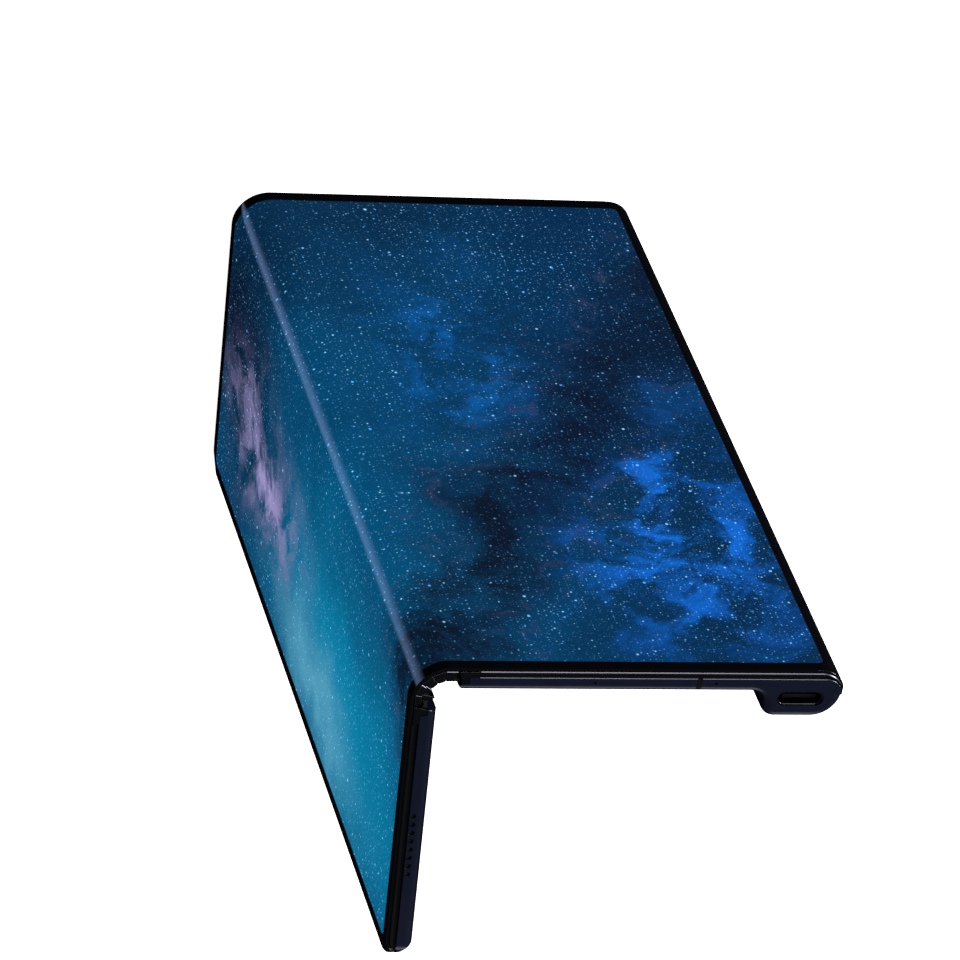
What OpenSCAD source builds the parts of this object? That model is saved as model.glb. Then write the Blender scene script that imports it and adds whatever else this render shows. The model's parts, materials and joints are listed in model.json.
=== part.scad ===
// Foldable smartphone, half folded, with its display on the outside.
// The main half carries a thick grip along its long edge. The thin half folds against its back.
// Five slats join the halves and turn about lines that lie in the display's thickness.
// X runs across the main half towards the fold, Y runs inwards from its display,
// and Z runs along the fold, up to the end with the socket.

/* [Overall size] */
// Length along the fold
phone_len = 161.3; // [150:0.1:175]
// Width with the phone opened flat
open_w = 146.2; // [143:0.1:150]
// Width with the phone closed
closed_w = 78.3; // [76.5:0.1:82]
// Thickness with the phone closed, which is also the grip's thickness
closed_t = 11; // [11:0.05:11.6]
// Thickness of each panel
panel_t = 5.4; // [5.2:0.02:5.44]
// Fold angle of the stored pose, 0 is flat and 180 is closed
rest_fold = 95; // [80:1:110]

/* [Display] */
// Thickness of the flexible display with its cover film
display_t = 0.7; // [0.6:0.02:0.74]
// Step between the display's ends and the frame's end faces
display_inset = 0.15; // [0.1:0.05:0.4]
// Width of the display's edge where it has wrapped round the grip's side
wrap_edge = 0.25; // [0.2:0.05:0.4]
// Gap between seated pieces
seat_gap = 0.03; // [0.02:0.01:0.06]

/* [Hinge] */
// Depth of the turning lines below the display's surface
pivot_depth = 0.5; // [0.46:0.01:0.54]
// Thickness of the fold zone, display included
hinge_t = 3.5; // [3:0.05:3.6]
// Gap between the display and the slats
slat_gap = 0.22; // [0.2:0.01:0.28]
// Gap left between two slats when the phone is closed
closed_gap = 0.06; // [0.04:0.01:0.1]
// Depth of each slat's full-length plate
plate_t = 1.15; // [1:0.05:1.3]
// Step between a slat's plate end and its deeper rail
rail_inset = 0.6; // [0.3:0.1:1.5]
// Depth of the last slat's inward bulge below the turning lines
bulge_depth = 4.2; // [3.8:0.1:4.3]
// Distance of the main frame's nose, which reaches under the slats, from the first turning line
nose_x = 0.3; // [0.25:0.05:0.7]
// Radius of the arc tongues about the turning lines
tongue_r = 1.5; // [1.42:0.02:1.58]
// Thickness of the arc tongues
tongue_t = 0.4; // [0.3:0.02:0.44]
// Width of each arc tongue along the fold
tongue_w = 8; // [4:0.5:10]
// Clearance round each arc tongue
tongue_gap = 0.045; // [0.03:0.005:0.06]
// Number of arc tongues on each joint
tongue_count = 6; // [3:1:7]
// Width of the hinge bracket's screwed flange
flange_w = 1.8; // [1.6:0.1:2.4]
// Radius of the bracket screws
screw_r = 0.5; // [0.4:0.05:0.55]
// How much wider the bracket screws' heads are than their threads, measured on the radius
screw_head_w = 0.25; // [0.15:0.05:0.3]
// Thickness of the bracket screws' heads
screw_head_t = 0.45; // [0.3:0.05:0.6]
// Number of screws in each bracket
screw_count = 5; // [3:1:7]

/* [Frames] */
// Radius of the main half's corners beside the grip
grip_corner_r = 1.2; // [0.8:0.1:2]
// Radius of the thin half's free corners
thin_corner_r = 4.5; // [3.5:0.5:8]
// Radius of the thin half's free edge beside the display
thin_lip_r = 2.4; // [2.3:0.05:2.5]
// Radius of the thin half's free edge beside its back
thin_back_r = 2.7; // [2.2:0.05:2.75]
// Radius of the rounded edges between the end faces and the backs
end_round_r = 2; // [1:0.1:2.2]
// Height of the lip under the display
lip_t = 0.5; // [0.3:0.05:0.6]
// Height of the groove under the lip
groove_t = 0.8; // [0.5:0.05:0.9]
// Depth of the groove in the end faces
groove_depth = 0.4; // [0.2:0.05:0.6]
// Thickness of the frame's end walls
end_wall = 3; // [2.5:0.1:4]
// Thickness of the frame's wall beside the fold
fold_wall = 3.4; // [3.2:0.1:4]
// Thickness of the mid plates
mid_t = 0.7; // [0.5:0.05:0.8]
// Thickness of the back covers
cover_t = 0.75; // [0.6:0.05:0.9]
// Margin between the back covers and the frame's edges
cover_margin = 1.3; // [1.2:0.1:2.5]
// Margin between the thin half's back cover and its rounded free edge
free_margin = 0.6; // [0.4:0.1:1.5]
// Radius of the back covers' corners
cover_corner_r = 3; // [1:0.5:5]
// Margin between the main half's mid plate and the grip's round side
mid_margin = 1; // [0.5:0.25:2]
// How much further the frames' backs slant away beside the fold
end_slope = 0.15; // [0.1:0.05:1.2]
// Width of the ledge that carries each cover
ledge_w = 1; // [0.7:0.1:1.5]
// Width of the antenna breaks
antenna_w = 1; // [0.6:0.1:1.6]
// Depth of the antenna breaks
antenna_depth = 1.2; // [0.6:0.1:2]
// Distance of the antenna breaks from the first turning line
antenna_x = 45.8; // [40:0.1:50]

/* [Grip] */
// Width of the grip
grip_w = 15.14; // [14.6:0.02:15.3]
// Radius of the grip's inner edge
grip_edge_r = 2.7; // [2.4:0.05:2.8]
// Thickness of the grip's walls
grip_wall = 1.9; // [1.7:0.05:2.2]
// Thickness of the grip's wall beside the buttons
grip_outer_wall = 2.9; // [2.5:0.05:3.2]
// Width of the strip cover on the grip's back
strip_w = 6.4; // [6.2:0.1:6.8]
// Thickness and width of the ledge that carries the strip cover
strip_ledge = 0.7; // [0.5:0.05:0.8]
// Distance of the strip cover from the end faces
strip_inset = 4; // [3:0.5:8]
// Radius of the strip cover's corners
strip_corner_r = 1.5; // [0.5:0.25:2.5]
// Radius of the camera rings
ring_r = 2.8; // [2.4:0.05:2.9]
// Radius of the camera lenses
lens_r = 2.1; // [1.6:0.05:2.3]
// Step between the lenses and the strip cover's face
lens_recess = 0.1; // [0.05:0.05:0.3]
// Distance between camera centres
camera_pitch = 11; // [8:0.5:14]
// Height of the first camera above the far end
camera_z = 15; // [12:0.5:20]
// Radius of the flash window
flash_r = 1.4; // [1:0.1:2]
// Width of the socket's opening
usb_w = 8.34; // [8.34:0.02:8.5]
// Height of the socket's opening
usb_h = 2.56; // [2.5:0.02:2.7]
// Wall of the socket's shell
usb_wall = 0.3; // [0.2:0.02:0.35]
// Depth of the socket
usb_depth = 7; // [6.2:0.1:8]
// Distance of the socket's centre from the grip's outer side
usb_x = 8.3; // [8:0.1:8.6]
// How far the socket's centre lies behind the grip's middle
usb_drop = 0.9; // [0.5:0.1:1.2]
// Radius of the microphone holes
mic_r = 0.25; // [0.2:0.05:0.4]
// Distance of the outer microphone hole from the hollow
mic_step = 7.1; // [4:0.1:10]
// Distance of the inner microphone hole from the first turning line
mic_fold = 25.9; // [20:0.1:32]
// How far the microphone holes lie behind the turning lines
mic_drop = 2.55; // [2.3:0.05:2.8]

/* [Buttons and card tray] */
// Length of the power button
power_len = 13; // [9:0.5:18]
// Height of the power button's centre above the far end
power_z = 76; // [60:1:90]
// Length of the volume rocker
volume_len = 21; // [16:0.5:26]
// Height of the volume rocker's centre above the far end
volume_z = 103; // [96:1:115]
// Width of the side buttons
button_w = 2.4; // [2:0.1:2.6]
// How far the side buttons' centres lie behind the grip's middle
button_drop = 1.9; // [1.5:0.1:2.2]
// How far the side buttons stand out of the grip's round side
button_rise = 0.12; // [0.05:0.01:0.2]
// Width and thickness of the flanges that keep the side buttons in
button_flange = 0.6; // [0.4:0.05:0.8]
// Length of the release button
release_len = 9; // [6:0.5:12]
// Height of the release button's centre above the far end
release_z = 66; // [60:1:80]
// How far the release button stands out of the strip cover
release_rise = 0.15; // [0.05:0.05:0.3]
// Width and thickness of the flange that keeps the release button in
release_flange = 0.5; // [0.3:0.05:0.6]
// Gap round moving buttons and the card tray
move_gap = 0.08; // [0.05:0.01:0.12]
// Distance of the card tray's middle from the last turning line
tray_x = 30; // [26:0.5:34]
// Width of the card tray
tray_w = 12; // [10:0.5:14]
// Thickness of the card tray
tray_t = 1.6; // [1.2:0.1:1.8]
// Length of the card tray
tray_len = 17; // [14:0.5:22]
// Width of the card tray's rim
tray_rim = 1.5; // [1:0.1:2]
// Thickness of the card tray's floor
tray_floor = 0.5; // [0.3:0.05:0.8]
// Radius of the pin hole in the card tray's door
pin_r = 0.4; // [0.3:0.05:0.5]
// Radius of the speaker holes
speaker_hole_r = 0.55; // [0.3:0.05:0.7]
// Distance between speaker holes
speaker_pitch = 1.91; // [1.6:0.01:2.2]
// Number of speaker holes
speaker_holes = 8; // [4:1:12]
// Distance of the last speaker hole from the thin half's free edge
speaker_edge = 20.5; // [16:0.1:24]

/* [Inner parts] */
// Gap between the inner parts
part_gap = 1; // [0.6:0.1:2]
// Width of the circuit board
board_w = 22; // [16:0.5:24]
// Thickness of the circuit boards
board_t = 0.8; // [0.6:0.1:1]
// Number of shields on the circuit board
shield_count = 5; // [3:1:7]
// Length of each shield along the fold
shield_len = 13; // [8:0.5:18]
// Width of each shield
shield_w = 11.5; // [8:0.5:12]
// Height of the shields on the circuit board
shield_t = 1.2; // [0.8:0.1:1.5]
// Length of the two notches in the circuit board
notch_len = 19; // [10:1:30]
// Width of the two notches in the circuit board
notch_w = 8; // [4:0.5:9]
// Gap between the inner parts and the back covers
under_gap = 0.2; // [0.1:0.05:0.4]
// Radius of the batteries' edges
battery_r = 0.8; // [0.4:0.1:1.2]
// Length of the speaker module along the fold
speaker_len = 18; // [12:0.5:24]
// Margin of the speaker module beside its outermost holes
speaker_margin = 2; // [1.5:0.5:4]
// Radius of the vibration motor
motor_r = 4.6; // [3.5:0.1:5]

/* [Hidden] */
$fn = 48;
far = 200;
navy = [0.07, 0.08, 0.14];
black = [0.02, 0.02, 0.025];
steel = [0.35, 0.36, 0.4];
glass_blue = [0.04, 0.07, 0.16];

// Chain of slats: each joint takes an equal share of the closed fold
link_count = 5;
last = link_count + 1;
share = 180 / last;
inner_bend = rest_fold / (link_count - 1);
function sum(v, i = 0) = i < len(v) ? v[i] + sum(v, i + 1) : 0;
pitch = (closed_t - 2 * pivot_depth) / sum([for (k = [1 : link_count]) sin(k * share)]);
reach = pivot_depth + pitch * sum([for (k = [1 : link_count]) max(0, cos(k * share))]);
main_w = closed_w - reach;
thin_w = open_w - main_w - link_count * pitch;

// Rest pose of the chain: heading of link k, and place of joint k
function heading(k) = min(max(k - 1, 0), link_count - 1) * inner_bend;
function joint_x(k) = pitch * sum([for (i = [1 : 1 : k - 1]) cos(heading(i))]);
function joint_y(k) = pitch * sum([for (i = [1 : 1 : k - 1]) sin(heading(i))]);

// Depths below the turning lines
top_y = -pivot_depth;
glass_y = top_y + display_t;
seat_y = glass_y + seat_gap;
seat_step = wrap_edge + seat_gap;
lip_step = 0.1;
lip_y = seat_y + lip_t;
groove_y = lip_y + groove_t;
back_y = panel_t - pivot_depth;
panel_mid = (top_y + back_y) / 2;
grip_mid = closed_t / 2 - pivot_depth;
grip_back = closed_t - pivot_depth;
slat_y = glass_y + slat_gap;
plate_y = slat_y + plate_t;
rail_y = hinge_t - pivot_depth;
mid_back = seat_y + mid_t;
cover_y = back_y - cover_t;
strip_y = grip_back - cover_t;

// How far the slanted sides of slats, brackets and frames stand back at a depth
taper = tan(share / 2 + 0.5);
function face(y) = closed_gap / 2 + y * taper;

// The main frame's nose starts where the first slat's corner swings past, and slants like that slat
under_y = norm([face(rail_y), rail_y]) + move_gap;
nose_y = under_y + (face(rail_y) - nose_x) * tan(share);

// Places across the main half, from the first turning line
outer_x = -main_w;
wall_x = outer_x + grip_w;
hollow_r = grip_back - grip_edge_r - back_y;
hollow_x = wall_x + hollow_r;
flat_x0 = outer_x + grip_back - grip_mid;
flat_x1 = wall_x - grip_edge_r;
strip_x = (flat_x0 + flat_x1) / 2;
usb_cx = outer_x + usb_x;
usb_y = grip_mid + usb_drop;
button_y = grip_mid + button_drop;
grip_in0 = outer_x + grip_outer_wall;
grip_in1 = wall_x - grip_wall;
end_x = face(back_y) + end_slope;
cover_x0 = hollow_x + cover_margin;
cover_x1 = -end_x - cover_margin;
core_x0 = cover_x0 + ledge_w;
core_x1 = -end_x - fold_wall;
grip_top = mid_back + grip_wall;
grip_low = strip_y - strip_ledge;
board_x0 = core_x0 + part_gap;
board_x1 = board_x0 + board_w;
mid_x0 = flat_x0 + mid_margin;
shield_step = (phone_len - 2 * (end_wall + part_gap)) / shield_count;
mic_xs = [hollow_x + mic_step, -mic_fold];
tongue_usb_w = 6.69;
tongue_usb_t = 0.7;
tongue_usb_step = 0.9;
usb_floor = 0.5;
usb_step = 0.3;
stem_end = 1;

// Places across the thin half, from the last turning line
thin_mid = top_y + thin_lip_r;
speaker_x = thin_w - speaker_edge - (speaker_holes - 1) * speaker_pitch;
thin_cover_x1 = thin_w - thin_back_r - free_margin;
thin_core_x1 = thin_cover_x1 - ledge_w;
tray_y = mid_back + board_t + move_gap;
thin_board_z = tray_len + 4 * part_gap;
door_step = 0.05;
speaker_z = phone_len - end_wall - speaker_len;

// Hinge brackets and their screws
bracket_x = 0.8 * pitch;
flange_x = bracket_x + flange_w;
screw_x = bracket_x + flange_w / 2;
screw_zs = [for (i = [0 : screw_count - 1]) phone_len * (i + 0.5) / screw_count];
bulge_x = 0.6 * pitch;
bulge_past = 0.3;

// Angles that a tongue spans about its turning line, and those of the groove that turns past it
tongue_from = 80 - share / 2;
tongue_to = 102 + share / 2;
groove_from = 77 - share * 1.5;
groove_to = 95 + share / 2;
tongue_step = (phone_len - 2 * end_wall) / tongue_count;
tongue_offset = 0.04;

// Origin: centre of the whole box across X and Y, at the far end
bend_r = pitch / (2 * tan(inner_bend / 2)) + pivot_depth;
bend_join = 0.01;
box_x = pitch / 2 + bend_r;
tip_y = joint_y(last) + (thin_w - thin_lip_r) * sin(rest_fold)
  + thin_mid * cos(rest_fold) + thin_lip_r;
button_x = flat_x0 - sqrt(pow(grip_back - grip_mid + button_rise, 2)
  - pow(max(0, button_drop - button_w / 2), 2));
shift = [-(button_x + box_x) / 2, -(top_y + tip_y) / 2, 0];

// Shared shapes
module on_main() translate(shift) children();
module on_link(k) translate(shift + [joint_x(k), joint_y(k), 0]) rotate(heading(k)) children();
module on_thin() on_link(last) children();
module along_x(x0, x1) translate([x1, 0, 0]) rotate([0, -90, 0]) linear_extrude(x1 - x0) children();
module along_y(y0, y1) translate([0, y1, 0]) rotate([90, 0, 0]) linear_extrude(y1 - y0) children();
module along_z(z0, z1) translate([0, 0, z0]) linear_extrude(z1 - z0) children();
module rect(x0, x1, y0, y1) translate([x0, y0]) square([x1 - x0, y1 - y0]);
module box(x0, x1, y0, y1, z0, z1) translate([x0, y0, z0]) cube([x1 - x0, y1 - y0, z1 - z0]);

// What a round of radius r takes off a corner at the origin
module corner_cut(r) difference() {
  translate([-1, -1]) square(r + 1);
  translate([r, r]) circle(r);
}

module round_rect(x0, x1, y0, y1, r) difference() {
  rect(x0, x1, y0, y1);
  translate([x0, y0]) corner_cut(r);
  translate([x1, y0]) mirror([1, 0]) corner_cut(r);
  translate([x0, y1]) mirror([0, 1]) corner_cut(r);
  translate([x1, y1]) rotate(180) corner_cut(r);
}

module slot_shape(w, h) {
  square([w - h, h], center = true);
  translate([(w - h) / 2, 0]) circle(h / 2);
  translate([(h - w) / 2, 0]) circle(h / 2);
}

// Cross-section of the main half, with its space for the closed thin half
module main_outline() difference() {
  rect(outer_x, 0, top_y, grip_back);
  translate([outer_x, top_y]) corner_cut(grip_mid - top_y);
  translate([outer_x, grip_back]) mirror([0, 1]) corner_cut(grip_back - grip_mid);
  translate([wall_x, grip_back]) rotate(180) corner_cut(grip_edge_r);
  difference() {
    rect(wall_x, far, back_y, far);
    translate([wall_x, back_y]) corner_cut(hollow_r);
  }
}

// All that lies below depth d, and inside the grip's upper side stepped in by e
module main_below(d, e) difference() {
  rect(outer_x - 2, far, d, far);
  rect(outer_x - 3, outer_x + e, d - 1, grip_mid);
  translate([outer_x + e, d]) corner_cut(grip_mid - d);
}

// Cross-section of the thin half
module thin_outline() difference() {
  rect(0, thin_w, top_y, back_y);
  translate([thin_w, top_y]) mirror([1, 0]) corner_cut(thin_mid - top_y);
  translate([thin_w, back_y]) rotate(180) corner_cut(thin_back_r);
}

// All that lies below depth d, and inside the thin half's free edge stepped in by e
module thin_below(d, e) difference() {
  rect(-far, thin_w + 2, d, far);
  rect(thin_w - e, thin_w + 3, d - 1, thin_mid);
  translate([thin_w - e, d]) mirror([1, 0]) corner_cut(thin_mid - d);
}

// Outlines of the two halves seen from the display, with their free corners rounded
module main_plan(inset) difference() {
  rect(outer_x - 1, far, inset, phone_len - inset);
  translate([outer_x, inset]) corner_cut(grip_corner_r);
  translate([outer_x, phone_len - inset]) mirror([0, 1]) corner_cut(grip_corner_r);
}

module thin_plan(inset) difference() {
  rect(-far, thin_w + 1, inset, phone_len - inset);
  translate([thin_w, inset]) mirror([1, 0]) corner_cut(thin_corner_r);
  translate([thin_w, phone_len - inset]) rotate(180) corner_cut(thin_corner_r);
}

// What both free corners lose where the free edge's section is carried across their diagonals
module cut_tips() for (end = [0, 1])
  translate([thin_w - thin_corner_r, 0, end == 1 ? phone_len - thin_corner_r : thin_corner_r])
    rotate([0, end == 1 ? -45 : 45, 0]) along_z(-far, far)
      translate([thin_corner_r - thin_w, 0]) difference() {
        rect(thin_w - thin_corner_r, far, top_y - 1, back_y);
        children();
      }

// Rounds between both end faces and a back face at depth y, along X
module end_rounds(x0, x1, y) along_x(x0, x1) {
  translate([0, y]) mirror([0, 1]) corner_cut(end_round_r);
  translate([phone_len, y]) rotate(180) corner_cut(end_round_r);
}

// The same rounds carried through a quarter turn, past a hollow or an edge of radius r
module turned_rounds(place, start, r, outward) translate(place) rotate(start)
  rotate_extrude(angle = 90) for (end = [0, 1])
    translate([r, end * phone_len]) mirror([outward ? 1 : 0, 0]) mirror([0, end])
      corner_cut(end_round_r);

module main_rounds() {
  end_rounds(hollow_x, 1, back_y);
  turned_rounds([hollow_x, back_y + hollow_r, 0], 180, hollow_r, false);
  turned_rounds([flat_x1, grip_back - grip_edge_r, 0], 0, grip_edge_r, true);
  end_rounds(flat_x0, flat_x1, grip_back);
  turned_rounds([flat_x0, grip_mid, 0], 90, grip_back - grip_mid, true);
}

// Both end faces' bands between two sections, which are the groove below the lip
module end_bands(depth) {
  along_z(-1, depth) children();
  along_z(phone_len - depth, phone_len + 1) children();
}

// What the fold takes off a frame: room for bracket and slats, and below them a slanted end
// that can start with a nose
module fold_cut(nose) polygon([
  [-flange_x - seat_gap, top_y - 1],
  [-flange_x - seat_gap, plate_y + seat_gap],
  [-bracket_x - seat_gap, plate_y + seat_gap],
  [-bracket_x - seat_gap, rail_y + seat_gap],
  [-face(rail_y), rail_y + seat_gap],
  each nose,
  [-end_x, back_y],
  [-end_x, far],
  [far, far],
  [far, top_y - 1]
]);

// Recess and ledge for a cover plate on the back of a half
module cover_plate(x0, x1, gap) along_y(cover_y, back_y)
  round_rect(x0 + gap, x1 - gap, end_round_r + gap, phone_len - end_round_r - gap,
    cover_corner_r);

module strip_plate(gap) along_y(strip_y, grip_back) translate([strip_x, 0])
  round_rect(gap - strip_w / 2, strip_w / 2 - gap, strip_inset + gap, phone_len - strip_inset - gap,
    strip_corner_r);

// Part of a ring of mean radius r and thickness t, between two angles
module arc_band(r, t, a0, a1) intersection() {
  difference() {
    circle(r + t / 2);
    circle(r - t / 2);
  }
  polygon([[0, 0], for (a = [a0, (a0 + a1) / 2, a1]) 2 * (r + t) * [cos(a), sin(a)]]);
}

// Places of joint k's tongues along the fold: neighbouring joints take turns
function tongue_z(k, i) = end_wall + tongue_step * (i + tongue_offset + (k % 2 == 1 ? 0 : 0.5));

// Tongues about joint k, rooted in the piece before it
module tongues(k) for (i = [0 : tongue_count - 1]) let (z = tongue_z(k, i))
  along_z(z, z + tongue_w) arc_band(tongue_r, tongue_t, tongue_from, tongue_to);

// Grooves for them in the piece after it, long enough for the closed phone
module grooves(k) for (i = [0 : tongue_count - 1]) let (z = tongue_z(k, i))
  along_z(z - move_gap, z + tongue_w + move_gap)
    arc_band(tongue_r, tongue_t + 2 * tongue_gap, groove_from, groove_to);

module slat_section(depth) polygon([
  [face(slat_y), slat_y],
  [pitch - face(slat_y), slat_y],
  [pitch - face(depth), depth],
  [face(depth), depth]
]);

// One slat: a full-length plate under the display and a shorter rail behind it
module slat(k, depth) color(steel) on_link(k) difference() {
  union() {
    along_z(display_inset, phone_len - display_inset) intersection() {
      slat_section(depth);
      if (depth > rail_y) translate([bulge_x, slat_y]) circle(bulge_depth - slat_y);
    }
    translate([pitch, 0, 0]) tongues(k + 1);
  }
  grooves(k);
  for (z = [display_inset - 1, phone_len - display_inset - rail_inset])
    box(-1, pitch + 1, plate_y, far, z, z + rail_inset + 1);
}

module bracket_section() polygon([
  [face(slat_y), slat_y],
  [face(rail_y), rail_y],
  [bracket_x, rail_y],
  [bracket_x, plate_y],
  [flange_x, plate_y],
  [flange_x, slat_y]
]);

// Screws through a bracket's flange into the frame, or with a gap the holes for them
module bracket_screws(x, gap) for (z = screw_zs) translate([x, slat_y, z]) rotate([-90, 0, 0]) {
  cylinder(h = screw_head_t, r = screw_r + screw_head_w + gap);
  cylinder(h = rail_y, r = screw_r + gap);
}

// Main half: frame
module main_block() difference() {
  intersection() {
    along_z(0, phone_len) difference() {
      intersection() {
        main_outline();
        main_below(seat_y, seat_step);
      }
      fold_cut([[-face(rail_y), under_y], [-nose_x, nose_y]]);
    }
    along_y(top_y - 1, far) main_plan(0);
  }
  main_rounds();
}

module antenna_slots(gap) for (z = [-1, phone_len - antenna_depth + gap])
  box(-antenna_x - antenna_w / 2 + gap, -antenna_x + antenna_w / 2 - gap, groove_y + gap, far,
    z, z + antenna_depth + 1 - gap);

module side_button_shape(z, len, gap) along_x(outer_x - 1, grip_in0 + stem_end)
  translate([z, button_y]) slot_shape(len + 2 * gap, button_w + 2 * gap);

module main_frame() color(navy) on_main() difference() {
  main_block();
  end_bands(groove_depth) difference() {
    main_below(lip_y, seat_step + lip_step);
    main_below(groove_y, seat_step + 2 * lip_step);
  }
  antenna_slots(0);
  box(mid_x0, -flange_x, seat_y - 1, mid_back, end_wall / 2, phone_len - end_wall / 2);
  box(core_x0, core_x1, mid_back - 1, back_y, end_wall, phone_len - end_wall);
  cover_plate(cover_x0, cover_x1, 0);
  box(grip_in0, grip_in1, grip_top, grip_low, end_wall, phone_len - end_wall);
  box(strip_x - strip_w / 2 + strip_ledge, strip_x + strip_w / 2 - strip_ledge, grip_low - 1,
    grip_back, strip_inset + 1, phone_len - strip_inset - 1);
  strip_plate(0);
  side_button_shape(power_z, power_len, move_gap);
  side_button_shape(volume_z, volume_len, move_gap);
  along_z(phone_len - end_wall - 1, phone_len + 1) translate([usb_cx, usb_y])
    slot_shape(usb_w + 2 * (usb_wall + seat_gap), usb_h + 2 * (usb_wall + seat_gap));
  for (x = mic_xs) translate([x, mic_drop, phone_len - end_wall - 1])
    cylinder(h = end_wall + 2, r = mic_r);
  bracket_screws(-screw_x, seat_gap);
}

module antenna_bands() color(black) on_main() intersection() {
  main_block();
  antenna_slots(seat_gap);
}

module main_midplate() color(steel) on_main() box(mid_x0 + seat_gap, -flange_x - 2 * seat_gap,
  seat_y, mid_back, end_wall / 2 + seat_gap, phone_len - end_wall / 2 - seat_gap);

// Main half: display, wrapped round the grip's outer side
module display_main() color(black) on_main() intersection() {
  along_z(display_inset, phone_len - display_inset) difference() {
    main_outline();
    main_below(glass_y, wrap_edge);
    rect(outer_x - 1, wall_x, grip_mid - seat_gap, far);
    rect(-pitch / 2 - seat_gap, far, top_y - 1, far);
  }
  along_y(top_y - 1, grip_mid) main_plan(display_inset);
}

module main_back_cover() color(glass_blue) on_main() cover_plate(cover_x0, cover_x1, seat_gap);

// Main half: strip cover with cameras, flash and release button
module grip_cover() color(black) on_main() difference() {
  strip_plate(seat_gap);
  camera_places() cylinder(h = 2 * cover_t, r = ring_r + seat_gap);
  flash_place() cylinder(h = 2 * cover_t, r = flash_r + seat_gap);
  along_y(strip_y - 1, grip_back + 1) release_outline(move_gap);
}

module camera_places() for (i = [0 : 2])
  translate([strip_x, strip_y, camera_z + i * camera_pitch]) rotate([-90, 0, 0]) children();

module flash_place() translate([strip_x, strip_y, camera_z + 3 * camera_pitch]) rotate([-90, 0, 0])
  children();

module release_outline(gap) translate([strip_x, release_z]) rotate(90)
  slot_shape(release_len + 2 * gap, strip_w / 2 + 2 * gap);

module camera_rings() color(steel) on_main() camera_places() difference() {
  cylinder(h = cover_t, r = ring_r);
  translate([0, 0, -1]) cylinder(h = cover_t + 2, r = lens_r + seat_gap);
}

module camera_lenses() color(black) on_main() camera_places()
  cylinder(h = cover_t - lens_recess, r = lens_r);

module camera_modules() color(black) on_main() camera_places()
  translate([0, 0, grip_top - strip_y]) cylinder(h = strip_y - grip_top, r = lens_r);

module flash_window() color("white") on_main() flash_place()
  translate([0, 0, grip_top - strip_y]) cylinder(h = grip_back - lens_recess - grip_top, r = flash_r);

// The flange under the cover keeps the button in
module release_button() color(navy) on_main() {
  along_y(strip_y - move_gap - release_flange, grip_back + release_rise) release_outline(0);
  along_y(strip_y - move_gap - release_flange, strip_y - move_gap) release_outline(release_flange);
}

// Main half: side buttons, their faces round like the grip
module side_button(z, len) color(navy) on_main() {
  intersection() {
    side_button_shape(z, len, 0);
    translate([flat_x0, grip_mid, 0]) cylinder(h = phone_len, r = grip_back - grip_mid + button_rise);
  }
  along_x(grip_in0 + move_gap, grip_in0 + move_gap + button_flange) translate([z, button_y])
    slot_shape(len + 2 * button_flange, button_w + 2 * button_flange);
}

module power_button() side_button(power_z, power_len);
module volume_rocker() side_button(volume_z, volume_len);

// Main half: socket
module usb_shell() color(steel) on_main() translate([usb_cx, usb_y, 0]) difference() {
  along_z(phone_len - usb_depth - usb_floor, phone_len - usb_step)
    slot_shape(usb_w + 2 * usb_wall, usb_h + 2 * usb_wall);
  along_z(phone_len - usb_depth, phone_len) slot_shape(usb_w, usb_h);
}

module usb_tongue() color(black) on_main() translate([usb_cx, usb_y, phone_len - usb_depth])
  translate([-tongue_usb_w / 2, -tongue_usb_t / 2, 0])
    cube([tongue_usb_w, tongue_usb_t, usb_depth - tongue_usb_step]);

// Main half: inner parts
module main_circuit_board() color("green") on_main() difference() {
  box(board_x0, board_x1, mid_back, mid_back + board_t, end_wall + part_gap,
    phone_len - end_wall - part_gap);
  for (z = [1, 2] * phone_len / 3)
    box(board_x1 - notch_w, board_x1 + 1, 0, far, z - notch_len / 2, z + notch_len / 2);
}

module board_shields() color("silver") on_main() for (i = [0 : shield_count - 1])
  let (z = end_wall + part_gap + shield_step * (i + 0.5))
    box(board_x0 + part_gap, board_x0 + part_gap + shield_w, mid_back + board_t,
      mid_back + board_t + shield_t, z - shield_len / 2, z + shield_len / 2);

module battery_main() color("dimgray") on_main()
  along_z(end_wall + part_gap, phone_len - end_wall - part_gap)
    round_rect(board_x1 + part_gap, core_x1 - part_gap, mid_back, cover_y - under_gap, battery_r);

// Hinge
module hinge_bracket_main() color(steel) on_main() difference() {
  union() {
    along_z(display_inset, phone_len - display_inset) mirror([1, 0]) bracket_section();
    tongues(1);
  }
  bracket_screws(-screw_x, seat_gap);
}

module hinge_bracket_thin() color(steel) on_thin() difference() {
  along_z(display_inset, phone_len - display_inset) bracket_section();
  grooves(last);
  bracket_screws(screw_x, seat_gap);
}

module bracket_screws_main() color("silver") on_main() bracket_screws(-screw_x, 0);
module bracket_screws_thin() color("silver") on_thin() bracket_screws(screw_x, 0);
module hinge_link_1() slat(1, rail_y);
module hinge_link_2() slat(2, rail_y);
module hinge_link_3() slat(3, rail_y);
module hinge_link_4() slat(4, rail_y);
module hinge_link_5() slat(5, bulge_depth + bulge_past);

// The display's bend: an arc from the middle of the first slat to the middle of the last one
module display_bend() color(black) on_main() along_z(display_inset, phone_len - display_inset) {
  rect(-pitch / 2 + seat_gap, pitch / 2 + bend_join, top_y, glass_y);
  translate([pitch / 2, bend_r - pivot_depth]) {
    arc_band(bend_r - display_t / 2, display_t, -90, rest_fold - 90);
    rotate(rest_fold - 90)
      rect(bend_r - display_t, bend_r, -bend_join, pitch - seat_gap);
  }
}

// Thin half: frame
module thin_section() intersection() {
  thin_outline();
  thin_below(seat_y, seat_step);
}

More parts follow.
